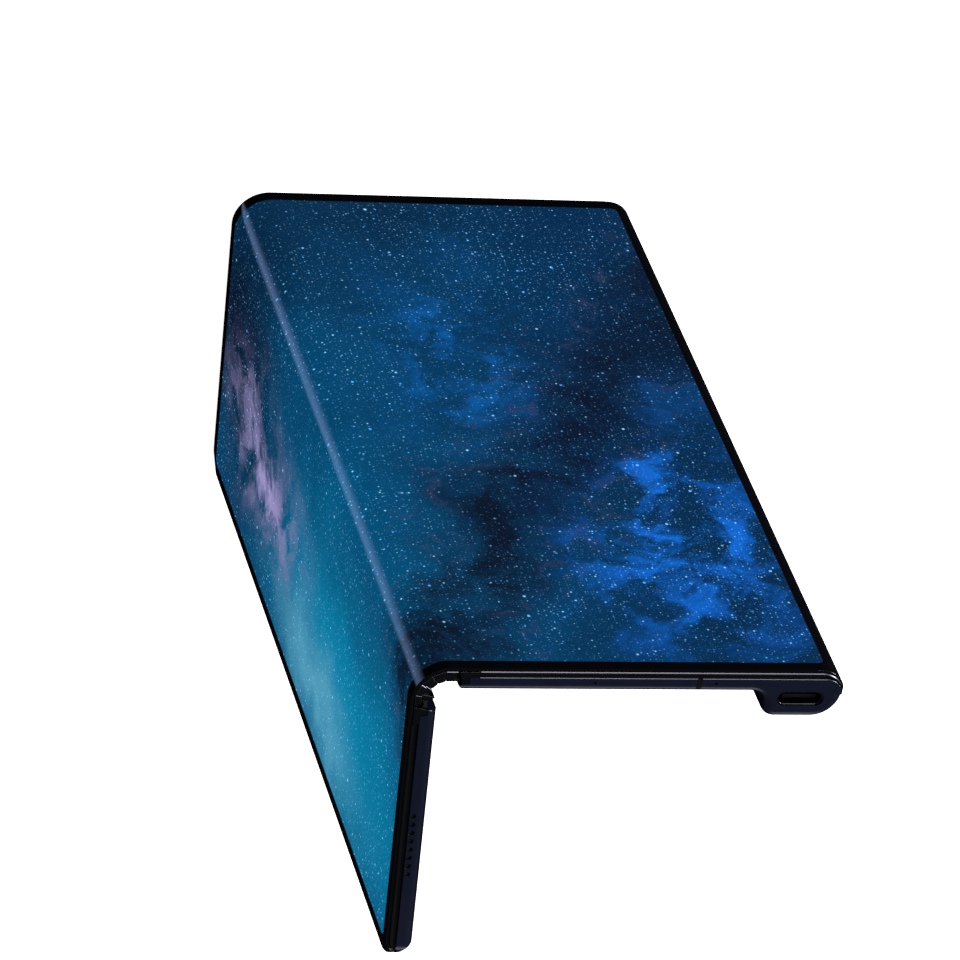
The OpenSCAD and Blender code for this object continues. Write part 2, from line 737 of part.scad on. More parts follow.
module thin_block() difference() {
  intersection() {
    along_z(0, phone_len) difference() {
      thin_section();
      mirror([1, 0]) fold_cut([]);
    }
    along_y(top_y - 1, far) thin_plan(0);
  }
  end_rounds(0, thin_w + 1, back_y);
  cut_tips() thin_section();
}

module thin_plate(y0, gap) along_y(y0, mid_back) round_rect(flange_x + 2 * gap,
  thin_w - thin_back_r - gap, end_wall / 2 + gap, phone_len - end_wall / 2 - gap,
  thin_corner_r - end_wall / 2);

module tray_shape(gap) box(tray_x - tray_w / 2 - gap, tray_x + tray_w / 2 + gap, tray_y - gap,
  tray_y + tray_t + gap, -1, tray_len);

module thin_frame() color(navy) on_thin() difference() {
  thin_block();
  end_bands(groove_depth) difference() {
    thin_below(lip_y, seat_step + lip_step);
    thin_below(groove_y, seat_step + 2 * lip_step);
  }
  thin_plate(seat_y - 1, 0);
  box(end_x + fold_wall, thin_core_x1, mid_back - 1, back_y, end_wall, phone_len - end_wall);
  cover_plate(end_x + cover_margin, thin_cover_x1, 0);
  tray_shape(move_gap);
  for (i = [0 : speaker_holes - 1])
    translate([speaker_x + i * speaker_pitch, panel_mid, phone_len - end_wall - 1])
      cylinder(h = end_wall + 2, r = speaker_hole_r);
  bracket_screws(screw_x, seat_gap);
}

module thin_midplate() color(steel) on_thin() thin_plate(seat_y, seat_gap);

module display_thin() color(black) on_thin() difference() {
  intersection() {
    along_z(display_inset, phone_len - display_inset) difference() {
      thin_outline();
      rect(0, thin_w + 1, thin_mid - seat_gap, far);
      rect(-1, pitch / 2 + seat_gap, top_y - 1, far);
    }
    along_y(top_y - 1, back_y) thin_plan(display_inset);
  }
  cut_tips() thin_outline();
  difference() {
    along_z(-1, phone_len + 1) thin_below(glass_y, wrap_edge);
    cut_tips() thin_below(glass_y, wrap_edge);
  }
}

module thin_back_cover() color(glass_blue) on_thin()
  cover_plate(end_x + cover_margin, thin_cover_x1, seat_gap);

// Thin half: inner parts
module battery_thin() color("dimgray") on_thin() along_z(thin_board_z + part_gap, speaker_z - part_gap)
  round_rect(end_x + fold_wall + part_gap, thin_core_x1 - part_gap, mid_back, cover_y - under_gap,
    battery_r);

module thin_circuit_board() color("green") on_thin() box(end_x + fold_wall + part_gap,
  thin_core_x1 - part_gap, mid_back, mid_back + board_t, end_wall + part_gap, thin_board_z);

module speaker_module() color(black) on_thin() box(speaker_x - speaker_margin,
  speaker_x + (speaker_holes - 1) * speaker_pitch + speaker_margin,
  mid_back, cover_y - under_gap, speaker_z, phone_len - end_wall);

module vibration_motor() color("silver") on_thin()
  translate([thin_core_x1 - part_gap - motor_r, mid_back, phone_len - end_wall - part_gap - motor_r])
    rotate([-90, 0, 0]) cylinder(h = cover_y - under_gap - mid_back, r = motor_r);

// The tray's door is the end of the tray, shaped like the frame's end face round it
module card_tray() color(navy) on_thin() difference() {
  intersection() {
    tray_shape(0);
    translate([0, 0, door_step]) thin_block();
  }
  box(tray_x - tray_w / 2 + tray_rim, tray_x + tray_w / 2 - tray_rim, tray_y + tray_floor, far,
    end_wall, tray_len - tray_rim);
  translate([tray_x + tray_w / 2 - tray_rim, tray_y + tray_t / 2, -1])
    cylinder(h = end_wall - tray_rim + 1, r = pin_r);
}

main_frame();
main_midplate();
display_main();
main_back_cover();
grip_cover();
camera_rings();
camera_lenses();
camera_modules();
flash_window();
usb_shell();
usb_tongue();
main_circuit_board();
board_shields();
battery_main();
hinge_bracket_main();
bracket_screws_main();
antenna_bands();
power_button();
volume_rocker();
release_button();
hinge_link_1();
hinge_link_2();
hinge_link_3();
hinge_link_4();
hinge_link_5();
display_bend();
thin_frame();
thin_midplate();
display_thin();
thin_back_cover();
battery_thin();
thin_circuit_board();
speaker_module();
vibration_motor();
card_tray();
hinge_bracket_thin();
bracket_screws_thin();
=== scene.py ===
import json
import math

import bmesh
import bpy
from mathutils import Matrix, Vector

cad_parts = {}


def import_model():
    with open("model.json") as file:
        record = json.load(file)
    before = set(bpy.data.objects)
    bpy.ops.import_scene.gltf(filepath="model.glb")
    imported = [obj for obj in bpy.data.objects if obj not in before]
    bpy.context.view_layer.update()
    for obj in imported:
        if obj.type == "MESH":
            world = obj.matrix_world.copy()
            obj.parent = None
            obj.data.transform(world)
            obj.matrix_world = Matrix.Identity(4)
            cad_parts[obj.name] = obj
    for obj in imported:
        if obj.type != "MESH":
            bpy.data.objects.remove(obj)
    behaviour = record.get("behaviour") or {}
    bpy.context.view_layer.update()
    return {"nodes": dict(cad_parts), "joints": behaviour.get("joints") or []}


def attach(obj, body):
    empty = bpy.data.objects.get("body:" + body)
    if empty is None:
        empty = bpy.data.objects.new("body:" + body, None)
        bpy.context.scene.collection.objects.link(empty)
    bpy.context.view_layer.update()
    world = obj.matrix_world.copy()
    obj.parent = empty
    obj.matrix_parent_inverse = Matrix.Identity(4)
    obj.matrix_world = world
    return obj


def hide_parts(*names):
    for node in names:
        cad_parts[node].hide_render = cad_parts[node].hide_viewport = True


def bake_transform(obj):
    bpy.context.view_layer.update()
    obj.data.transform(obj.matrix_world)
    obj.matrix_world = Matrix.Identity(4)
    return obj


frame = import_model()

MM = 0.001
NODES = frame["nodes"]

# The fold, from the main half over five slats to the thin half
LINKS = 5
JOINTS = {joint["name"]: joint for joint in frame["joints"]}
FOLD_LINES = [Vector(JOINTS[name]["pos_m"]) for name in (
    "fold_main_end", *(f"fold_middle_{k}" for k in range(1, LINKS)), "fold_thin_end"
)]
FIRST_LINE, LAST_LINE = FOLD_LINES[0], FOLD_LINES[-1]

# Sizes in millimetres and angles, as in the part's source. x counts from a half's own turning
# line and is negative on the main half, and y counts inwards from that line
LENGTH = 161.3
CLOSED_T = 11.0
PIVOT_DEPTH = 0.5
FOLD = math.radians(95)
STEP_ANGLE = FOLD / (LINKS - 1)
SHARE = math.radians(180 / (LINKS + 1))
PITCH = (CLOSED_T - 2 * PIVOT_DEPTH) / sum(math.sin(k * SHARE) for k in range(1, LINKS + 1))
BEND_R = PITCH / (2 * math.tan(STEP_ANGLE / 2)) + PIVOT_DEPTH
TAPER = math.tan(SHARE / 2 + math.radians(0.5))
CLOSED_GAP = 0.06
FILM = 0.7
FILM_INSET = 0.15
WRAP_EDGE = 0.25
SEAT_GAP = 0.03
MAIN_WIDTH = 74.14
GRIP_R = CLOSED_T / 2
GRIP_MID = GRIP_R - PIVOT_DEPTH
GRIP_BACK = CLOSED_T - PIVOT_DEPTH
FLAT_X = GRIP_R - MAIN_WIDTH
THIN_WIDTH = 58.663
THIN_LIP_R = 2.4
THIN_LIP_MID = THIN_LIP_R - PIVOT_DEPTH
PANEL_MID = 2.2
LIP_T = 0.5
LIP_STEP = 0.1
GROOVE_T = 0.8
SEAT_Y = FILM - PIVOT_DEPTH + SEAT_GAP
SEAT_STEP = WRAP_EDGE + SEAT_GAP
GROOVE_Y = SEAT_Y + LIP_T + GROOVE_T
GROOVE_STEP = SEAT_STEP + 2 * LIP_STEP
COVER_T = 0.75
STRIP_X = -65.17
STRIP_Y = GRIP_BACK - COVER_T
CAMERAS = 3
CAMERA_Z = 15.0
CAMERA_STEP = 11.0
SOCKET_X = -65.84
SOCKET_Y = 5.9
TONGUE_T = 0.7
SPEAKER_HOLES = 8
SPEAKER_STEP = 1.91
SPEAKER_EDGE = 20.5
SPEAKER_X = THIN_WIDTH - SPEAKER_EDGE - (SPEAKER_HOLES - 1) * SPEAKER_STEP

# The thin frame's slanted edge beside the fold: its start, and its run for each millimetre deeper
THIN_START_X, THIN_START_Y, THIN_START_RUN = 0.86, 3.03, 0.365

# Looks, in millimetres: flats on the frames' edges, how far from an end face and how deep bare
# metal and painted black shade reach on the frames, and the film's rounded edges
WIDE_FLAT, NARROW_FLAT = 0.33, 0.13
BARE_REACH, BARE_DEPTH = 0.25, 3.1
SHADE_REACH = 0.5
FILM_ROUND, FILM_RINGS = 0.12, 3
STRIP_STATIONS = 12

# The lit picture on the unrolled display, and the shift that keeps it off the film's other faces
PICTURE_LOW, PICTURE_HIGH, PICTURE_CORNER = (-69.9, 2.95, 0), (67.6, 158.85, 0), 1.2
SIDE_MARK = -500.0

# Tolerances: metres, millimetres, the least z of a normal that faces an end, and angles
SAME_POINT = 2e-6
ON_EDGE, ON_FACE, ON_SLANT = 0.02, 0.01, 0.05
FRAME_FACING, FILM_FACING = 0.9, 0.95
SAME_PLANE = math.radians(0.3)
SHARP, TURNED_SHARP = math.radians(38), math.radians(35)


def on_main(x, y, z):
    """A place on the main half, in metres: x from the first turning line, y inwards."""
    return FIRST_LINE + Vector((x, y, z)) * MM


def thin_axes():
    along = Vector((math.cos(FOLD), math.sin(FOLD), 0))
    inward = Vector((-math.sin(FOLD), math.cos(FOLD), 0))
    return along, inward


def on_thin(x, y, z):
    """A place on the thin half, in metres: x from the last turning line, y inwards."""
    along, inward = thin_axes()
    return LAST_LINE + (along * x + inward * y + Vector((0, 0, z))) * MM


def main_place(point):
    """A point's x and y on the main half, in millimetres."""
    return (point.x - FIRST_LINE.x) / MM, (point.y - FIRST_LINE.y) / MM


def thin_place(point):
    """A point's x and y on the thin half, in millimetres."""
    along, inward = thin_axes()
    off = point - LAST_LINE
    return off.dot(along) / MM, off.dot(inward) / MM


def from_end(point):
    """How far a point lies from the nearer end face, in millimetres."""
    return min(point.z, LENGTH * MM - point.z) / MM


# Meshes

def new_object(name, mesh):
    made = bpy.data.objects.new(name, mesh)
    bpy.context.scene.collection.objects.link(made)
    return made


def mesh_of(name, vertices, faces, uvs=None):
    mesh = bpy.data.meshes.new(name)
    mesh.from_pydata([tuple(v) for v in vertices], [], faces)
    if uvs:
        layer = mesh.uv_layers.new(name="unrolled")
        for loop in mesh.loops:
            layer.data[loop.index].uv = uvs[loop.vertex_index]
    mesh.update()
    return mesh


def settle(piece):
    """Turns the modifiers into a plain mesh and takes them off."""
    bpy.context.view_layer.update()
    graph = bpy.context.evaluated_depsgraph_get()
    mesh = bpy.data.meshes.new_from_object(
        piece.evaluated_get(graph), preserve_all_data_layers=True, depsgraph=graph
    )
    piece.modifiers.clear()
    piece.data = mesh
    return piece


def merged_copy(node, name):
    mesh = NODES[node].data.copy()
    mesh.materials.clear()
    shape = bmesh.new()
    shape.from_mesh(mesh)
    bmesh.ops.remove_doubles(shape, verts=shape.verts, dist=SAME_POINT)
    bmesh.ops.dissolve_limit(
        shape, angle_limit=SAME_PLANE, verts=shape.verts, edges=shape.edges
    )
    shape.to_mesh(mesh)
    shape.free()
    return new_object(name, mesh)


def shade(mesh, smooth):
    """Sets all faces smooth or flat."""
    mesh.polygons.foreach_set("use_smooth", [smooth] * len(mesh.polygons))


def weigh_normals(piece):
    """Keeps broad faces evenly shaded beside small rounds, and sharp edges sharp."""
    piece.data.set_sharp_from_angle(angle=SHARP)
    weigh = piece.modifiers.new("weigh", "WEIGHTED_NORMAL")
    weigh.mode = "FACE_AREA"
    weigh.weight = 90
    weigh.keep_sharp = True


def finished(piece, body, material, replaced):
    piece.data.materials.clear()
    piece.data.materials.append(material)
    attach(piece, body)
    if replaced:
        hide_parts(*replaced)
    return piece


def chamfer(mesh, chosen, width, rings=1, slot=-1):
    """Breaks the sharp edges between chosen points of one end, by a flat or in rings."""
    least_angle, one_end = 1.0, 5 * MM
    shape = bmesh.new()
    shape.from_mesh(mesh)
    edges = [edge for edge in shape.edges
             if edge.calc_face_angle(0) > least_angle and all(chosen(v.co) for v in edge.verts)
             and abs(edge.verts[0].co.z - edge.verts[1].co.z) < one_end]
    bmesh.ops.bevel(shape, geom=edges, offset=width * MM, segments=rings, profile=0.5,
                    affect="EDGES", clamp_overlap=True, material=slot)
    shape.to_mesh(mesh)
    shape.free()


def below_main_outline(point, depth, step):
    """How deep a point lies below the main half's outline, itself at a depth and a side step."""
    x, y = main_place(point)
    reach = GRIP_MID - depth
    centre = step - MAIN_WIDTH + reach
    return reach - math.hypot(x - centre, y - GRIP_MID) if x < centre else y - depth


def below_thin_outline(point, depth, step):
    """The same for the thin half."""
    x, y = thin_place(point)
    reach = THIN_LIP_MID - depth
    centre = THIN_WIDTH - step - reach
    return reach - math.hypot(x - centre, y - THIN_LIP_MID) if x > centre else y - depth


def end_edge(below, depth, step):
    """The test for points on an end face's edge that follows the outline at a depth and a step."""
    return lambda point: abs(from_end(point)) < ON_FACE and abs(below(point, depth, step)) < ON_EDGE


def at_thin_start(point):
    """Whether a point lies near an end on the thin frame's slanted edge beside the fold."""
    reach = 0.9
    x, y = thin_place(point)
    slant = THIN_START_X + (y - THIN_START_Y) * THIN_START_RUN
    return (y > THIN_START_Y - SEAT_GAP and abs(x - slant) < ON_SLANT
            and from_end(point) < reach)


def paint_lip_shade_black(piece, below):
    """Paints the lip's end faces and the groove behind them black, as painted shade."""
    piece.data.materials.append(BLACK)
    black = len(piece.data.materials) - 1
    points = piece.data.vertices
    for face in piece.data.polygons:
        at_end = from_end(face.center) < SHADE_REACH and abs(face.normal.z) > FRAME_FACING
        if at_end and all(
            below(points[index].co, GROOVE_Y, GROOVE_STEP) < ON_EDGE for index in face.vertices
        ):
            face.material_index = black


def near_lip(point):
    """Whether a point lies near an end face, and near the lip and groove."""
    depth = min(main_place(point)[1], thin_place(point)[1])
    return from_end(point) < BARE_REACH and depth < BARE_DEPTH


def machined(node, name, body, material, edge=0.1, rings=2, chosen=(), bare=None):
    """A copy of a solid with its sharp edges broken by a small round, so that they catch light.

    Edges between chosen points get a flat of their own width first. Where a bare metal is given,
    those flats take it, and so do the rounds near the lip's ends. With one ring all faces are
    shaded flat.
    """
    on_round, on_flat = 1, 2
    piece = merged_copy(node, name)
    if bare:
        for finish in (material, bare, bare):
            piece.data.materials.append(finish)
    for test, width in chosen:
        chamfer(piece.data, test, width, slot=on_flat)
    shade(piece.data, rings > 1)
    bevel = piece.modifiers.new("edge", "BEVEL")
    bevel.width = edge * MM
    bevel.segments = rings
    bevel.limit_method = "ANGLE"
    bevel.angle_limit = SHARP
    bevel.use_clamp_overlap = True
    bevel.miter_outer = "MITER_ARC"
    if bare:
        bevel.material = on_round
    if rings > 1:
        weigh_normals(piece)
    settle(piece)
    is_bare = [int(face.material_index == on_flat
                   or face.material_index == on_round and near_lip(face.center))
               for face in piece.data.polygons]
    finished(piece, body, material, [node])
    if bare:
        piece.data.materials.append(bare)
        piece.data.polygons.foreach_set("material_index", is_bare)
    return piece


def turned(profile, sides):
    """A closed turned shape from (radius, height) pairs, which are its map too. Its axis is +Y."""
    vertices, faces, uvs, rows = [], [], [], []
    for radius, height in profile:
        count = 1 if radius == 0 else sides
        rows.append(range(len(vertices), len(vertices) + count))
        for i in range(count):
            a = 2 * math.pi * i / sides
            vertices.append(Vector((radius * math.cos(a), height, radius * math.sin(a))) * MM)
            uvs.append((radius * MM, height * MM))
    for low, high in zip(rows, rows[1:]):
        for i in range(sides):
            ring = [low[i % len(low)], low[(i + 1) % len(low)],
                    high[(i + 1) % len(high)], high[i % len(high)]]
            face = list(dict.fromkeys(ring))
            if len(face) > 2:
                faces.append(face)
    return vertices, faces, uvs


def box_shape(size):
    x, y, z = (s / 2 * MM for s in size)
    vertices = [Vector((i * x, j * y, k * z)) for i in (-1, 1) for j in (-1, 1) for k in (-1, 1)]
    faces = [(0, 1, 3, 2), (4, 6, 7, 5), (0, 4, 5, 1), (2, 3, 7, 6), (0, 2, 6, 4), (1, 5, 7, 3)]
    return vertices, faces


# Rows of equal pieces

def row_tree():
    tree = bpy.data.node_groups.new("row_of_pieces", "GeometryNodeTree")
    face = tree.interface
    face.new_socket("Geometry", in_out="INPUT", socket_type="NodeSocketGeometry")
    face.new_socket("Count", in_out="INPUT", socket_type="NodeSocketInt")
    face.new_socket("Start", in_out="INPUT", socket_type="NodeSocketVector")
    face.new_socket("Step", in_out="INPUT", socket_type="NodeSocketVector")
    face.new_socket("Material", in_out="INPUT", socket_type="NodeSocketMaterial")
    face.new_socket("Geometry", in_out="OUTPUT", socket_type="NodeSocketGeometry")
    start = tree.nodes.new("NodeGroupInput")
    end = tree.nodes.new("NodeGroupOutput")
    line = tree.nodes.new("GeometryNodeMeshLine")
    place = tree.nodes.new("GeometryNodeInstanceOnPoints")
    real = tree.nodes.new("GeometryNodeRealizeInstances")
    paint = tree.nodes.new("GeometryNodeSetMaterial")
    for source, target in (
        (start.outputs["Count"], line.inputs["Count"]),
        (start.outputs["Start"], line.inputs["Start Location"]),
        (start.outputs["Step"], line.inputs["Offset"]),
        (line.outputs["Mesh"], place.inputs["Points"]),
        (start.outputs["Geometry"], place.inputs["Instance"]),
        (place.outputs["Instances"], real.inputs["Geometry"]),
        (real.outputs["Geometry"], paint.inputs["Geometry"]),
        (start.outputs["Material"], paint.inputs["Material"]),
        (paint.outputs["Geometry"], end.inputs["Geometry"]),
    ):
        tree.links.new(source, target)
    return tree


ROW = row_tree()


def row_of(name, mesh, count, start, step, body, material, replaced=(), smooth=False):
    piece = new_object(name, mesh)
    modifier = piece.modifiers.new("row", "NODES")
    modifier.node_group = ROW
    values = {"Count": count, "Start": start, "Step": step, "Material": material}
    for item in ROW.interface.items_tree:
        if item.in_out == "INPUT" and item.name in values:
            modifier[item.identifier] = values[item.name]
    settle(piece)
    if smooth:
        shade(piece.data, True)
        piece.data.set_sharp_from_angle(angle=TURNED_SHARP)
    return finished(piece, body, material, replaced)


# Materials

def wire(tree, kind, settings=None, inputs=None):
    made = tree.nodes.new(kind)
    for key, value in (settings or {}).items():
        setattr(made, key, value)
    for key, value in (inputs or {}).items():
        if isinstance(value, bpy.types.NodeSocket):
            tree.links.new(value, made.inputs[key])
        else:
            made.inputs[key].default_value = value
    return made


def maths(tree, operation, a, b=0.0, clamp=False):
    made = wire(tree, "ShaderNodeMath", {"operation": operation, "use_clamp": clamp}, {0: a, 1: b})
    return made.outputs[0]


def ramp(tree, value, low, high, to_low=0.0, to_high=1.0):
    made = wire(
        tree,
        "ShaderNodeMapRange",
        {"interpolation_type": "SMOOTHSTEP"},
        {"Value": value, "From Min": low, "From Max": high, "To Min": to_low, "To Max": to_high},
    )
    return made.outputs["Result"]


def blend_colours(tree, factor, a, b, mode="MIX"):
    made = tree.nodes.new("ShaderNodeMix")
    made.data_type = "RGBA"
    made.blend_type = mode
    for index, value in ((0, factor), (6, a), (7, b)):
        if isinstance(value, bpy.types.NodeSocket):
            tree.links.new(value, made.inputs[index])
        elif index:
            made.inputs[index].default_value = (*value, 1)
        else:
            made.inputs[index].default_value = value
    return made.outputs[2]


def clouds(tree, place, scale, detail, roughness=0.55, key="Fac"):
    made = wire(
        tree,
        "ShaderNodeTexNoise",
        {"noise_dimensions": "3D"},
        {"Vector": place, "Scale": scale, "Detail": detail, "Roughness": roughness},
    )
    return made.outputs[key]


def shader_group(name, inputs, outputs):
    tree = bpy.data.node_groups.new(name, "ShaderNodeTree")
    for label, kind, value in inputs:
        socket = tree.interface.new_socket(label, in_out="INPUT", socket_type=kind)
        if value is not None:
            socket.default_value = value
    for label, kind in outputs:
        tree.interface.new_socket(label, in_out="OUTPUT", socket_type=kind)
    return tree, tree.nodes.new("NodeGroupInput"), tree.nodes.new("NodeGroupOutput")


def use_group(tree, group, inputs):
    made = tree.nodes.new("ShaderNodeGroup")
    made.node_tree = group
    for key, value in inputs.items():
        if isinstance(value, bpy.types.NodeSocket):
            tree.links.new(value, made.inputs[key])
        else:
            made.inputs[key].default_value = value
    return made


def patch(tree, across, along, centre, reach):
    """A soft round patch: 1 at its centre, fading over its reach across and along."""
    x = maths(tree, "DIVIDE", maths(tree, "SUBTRACT", across, centre[0]), reach[0])
    y = maths(tree, "DIVIDE", maths(tree, "SUBTRACT", along, centre[1]), reach[1])
    squares = maths(tree, "ADD", maths(tree, "MULTIPLY", x, x), maths(tree, "MULTIPLY", y, y))
    base = 2.718
    return maths(tree, "POWER", base, maths(tree, "MULTIPLY", squares, -1.0))


def star_layer(tree, place, scale, size, share, strength):
    """Points of light, one in some cells of a random grid, each with its own brightness."""
    cells = wire(
        tree,
        "ShaderNodeTexVoronoi",
        {"feature": "F1", "voronoi_dimensions": "2D"},
        {"Vector": place, "Scale": scale, "Randomness": 1.0},
    )
    split = wire(tree, "ShaderNodeSeparateColor", None, {"Color": cells.outputs["Color"]})
    lit = ramp(tree, split.outputs["Red"], 1 - share, 1.0, 0.15, 1.0)
    chosen = maths(tree, "GREATER_THAN", split.outputs["Red"], 1 - share)
    point = ramp(tree, cells.outputs["Distance"], size, 0.0)
    light = maths(tree, "MULTIPLY", maths(tree, "MULTIPLY", point, lit), chosen)
    return maths(tree, "MULTIPLY", light, strength), split.outputs["Green"]


def night_sky():
    """A made-up night sky on a place in millimetres: dust lane, clouds, glow and stars."""
    tree, start, end = shader_group(
        "night_sky", [("Place", "NodeSocketVector", None)], [("Color", "NodeSocketColor")]
    )
    place = start.outputs["Place"]
    swirl = clouds(tree, place, 0.03, 4, 0.6, "Color")
    shifted = wire(tree, "ShaderNodeVectorMath", {"operation": "SUBTRACT"},
                   {0: swirl, 1: (0.5, 0.5, 0.5)})
    push = wire(tree, "ShaderNodeVectorMath", {"operation": "MULTIPLY"},
                {0: shifted.outputs[0], 1: (38, 38, 0)})
    warped = wire(tree, "ShaderNodeVectorMath", {"operation": "ADD"},
                  {0: place, 1: push.outputs[0]}).outputs[0]
    split = wire(tree, "ShaderNodeSeparateXYZ", None, {"Vector": warped})
    across, along = split.outputs["X"], split.outputs["Y"]
    broad = clouds(tree, warped, 0.028, 6)
    billow = clouds(tree, warped, 0.085, 9, 0.62)
    wisps = clouds(tree, warped, 0.22, 8, 0.68)

    # Ground colour: navy towards the grip, teal beside the fold and on the thin half
    teal = ramp(tree, across, -62, 12)
    teal = maths(tree, "MULTIPLY", teal, ramp(tree, broad, 0.3, 0.62, 0.45, 1.0))
    colour = blend_colours(tree, teal, (0.001, 0.025, 0.080), (0.0008, 0.068, 0.175))
    glow = patch(tree, across, along, (48, 118), (27, 58))
    colour = blend_colours(tree, maths(tree, "MULTIPLY", glow, 0.95), colour, (0.001, 0.215, 0.385))
    core = patch(tree, across, along, (58, 96), (8, 27))
    colour = blend_colours(tree, maths(tree, "MULTIPLY", core, 0.75), colour, (0.11, 0.38, 0.54))

    # Bright clouds on both sides of the dust lane
    for centre, reach, tone, strength in (
        ((-50, 120), (18, 30), (0.005, 0.135, 0.62), 2.2),
        ((-24, 58), (13, 26), (0.003, 0.115, 0.42), 1.4),
        ((-60, 62), (12, 16), (0.003, 0.09, 0.34), 1.0),
    ):
        body = maths(tree, "MULTIPLY", patch(tree, across, along, centre, reach),
                     ramp(tree, billow, 0.42, 0.72))
        share = maths(tree, "MULTIPLY", body, strength, clamp=True)
        colour = blend_colours(tree, share, colour, tone)

    # Dust lane from the grip's far end to the fold's near end
    side = maths(tree, "SUBTRACT", maths(tree, "MULTIPLY", across, 0.84),
                 maths(tree, "MULTIPLY", along, 0.542))
    side = maths(tree, "ABSOLUTE", maths(tree, "ADD", side, 79.5))
    lane = maths(tree, "MULTIPLY", ramp(tree, side, 19, 2),
                 ramp(tree, billow, 0.33, 0.6, 0.35, 1.0))
    rim = maths(tree, "MULTIPLY", ramp(tree, side, 26, 12),
                maths(tree, "MULTIPLY", ramp(tree, side, 3, 12), ramp(tree, wisps, 0.5, 0.7)))
    dark = maths(tree, "MULTIPLY", lane, 0.95)
    colour = blend_colours(tree, dark, colour, (0.0022, 0.005, 0.015))
    colour = blend_colours(tree, maths(tree, "MULTIPLY", rim, 0.4), colour, (0.05, 0.055, 0.13))

    # Dark far corner and rose clouds on the thin half
    dusk = maths(tree, "MULTIPLY", patch(tree, across, along, (26, 12), (36, 36)),
                 ramp(tree, broad, 0.3, 0.6, 0.9, 1.0))
    dusk = maths(tree, "MAXIMUM", dusk,
                 maths(tree, "MULTIPLY", patch(tree, across, along, (-16, 8), (22, 15)), 0.6))
    colour = blend_colours(tree, dusk, colour, (0.002, 0.005, 0.019))
    rose = maths(tree, "MULTIPLY", patch(tree, across, along, (42, 44), (11, 27)),
                 ramp(tree, billow, 0.38, 0.62))
    colour = blend_colours(tree, rose, colour, (0.34, 0.29, 0.56))

    # Stars, thinner in the dust
    clear = maths(tree, "SUBTRACT", 1.0, maths(tree, "MULTIPLY", lane, 0.55))
    crowd = maths(tree, "MULTIPLY", clear, ramp(tree, broad, 0.32, 0.66, 0.35, 1.0))
    for scale, size, share, strength in (
        (1.7, 0.27, 0.45, 0.46),
        (0.85, 0.18, 0.45, 1.1),
        (0.34, 0.095, 0.45, 2.1),
        (0.12, 0.048, 0.30, 3.2),
    ):
        light, tint = star_layer(tree, place, scale, size, share, strength)
        tint = ramp(tree, tint, 0.15, 0.85)
        tone = blend_colours(tree, tint, (0.07, 0.40, 1.0), (0.34, 0.74, 1.0))
        light = maths(tree, "MULTIPLY", light, crowd)
        colour = blend_colours(tree, light, colour, blend_colours(tree, 1.0, colour, tone, "ADD"))
    tree.links.new(colour, end.inputs["Color"])
    return tree


def window_mask():
    """1 inside the lit picture, 0 on the black border round it, with slightly rounded corners."""
    tree, start, end = shader_group(
        "picture_window",
        [("Place", "NodeSocketVector", None), ("Low", "NodeSocketVector", None),
         ("High", "NodeSocketVector", None), ("Corner", "NodeSocketFloat", 1.0)],
        [("Mask", "NodeSocketFloat")],
    )

    def vector(operation, a, b):
        return wire(tree, "ShaderNodeVectorMath", {"operation": operation}, {0: a, 1: b}).outputs[0]

    low, high, halve = start.outputs["Low"], start.outputs["High"], (0.5, 0.5, 0.5)
    middle = vector("MULTIPLY", vector("ADD", low, high), halve)
    half = vector("MULTIPLY", vector("SUBTRACT", high, low), halve)
    away = wire(tree, "ShaderNodeVectorMath", {"operation": "ABSOLUTE"},
                {0: vector("SUBTRACT", start.outputs["Place"], middle)}).outputs[0]
    over = wire(tree, "ShaderNodeSeparateXYZ", None, {"Vector": vector("SUBTRACT", away, half)})
    corner = start.outputs["Corner"]
    x = maths(tree, "MAXIMUM", maths(tree, "ADD", over.outputs["X"], corner), 0.0)
    y = maths(tree, "MAXIMUM", maths(tree, "ADD", over.outputs["Y"], corner), 0.0)
    reach = maths(tree, "SQRT", maths(tree, "ADD", maths(tree, "MULTIPLY", x, x),
                                      maths(tree, "MULTIPLY", y, y)))
    mask = ramp(tree, maths(tree, "SUBTRACT", reach, corner), 0.04, -0.04)
    tree.links.new(mask, end.inputs["Mask"])
    return tree


def fine_grain():
    """Fine even grain, as of a blasted or sprayed surface, with slow uneven patches."""
    tree, start, end = shader_group(
        "fine_grain",
        [("Place", "NodeSocketVector", None), ("Grain", "NodeSocketFloat", 5000.0),
         ("Roughness", "NodeSocketFloat", 0.3), ("Spread", "NodeSocketFloat", 0.08)],
        [("Height", "NodeSocketFloat"), ("Roughness", "NodeSocketFloat")],
    )
    grain = clouds(tree, start.outputs["Place"], start.outputs["Grain"], 2)
    slow = clouds(tree, start.outputs["Place"], 60.0, 4)
    change = maths(tree, "MULTIPLY", maths(tree, "SUBTRACT", slow, 0.5), start.outputs["Spread"])
    tree.links.new(grain, end.inputs["Height"])
    tree.links.new(maths(tree, "ADD", start.outputs["Roughness"], change), end.inputs["Roughness"])
    return tree


SKY = night_sky()
WINDOW = window_mask()
GRAIN = fine_grain()


def material(name, colour, **sockets):
    made = bpy.data.materials.new(name)
    made.use_nodes = True
    tree = made.node_tree
    shader = tree.nodes["Principled BSDF"]
    shader.inputs["Base Color"].default_value = (*colour, 1)
    for key, value in sockets.items():
        shader.inputs[key.replace("_", " ")].default_value = value
    made.diffuse_color = (*colour, 1)
    return made, tree, shader


def coordinates(tree, key="Object"):
    return wire(tree, "ShaderNodeTexCoord").outputs[key]


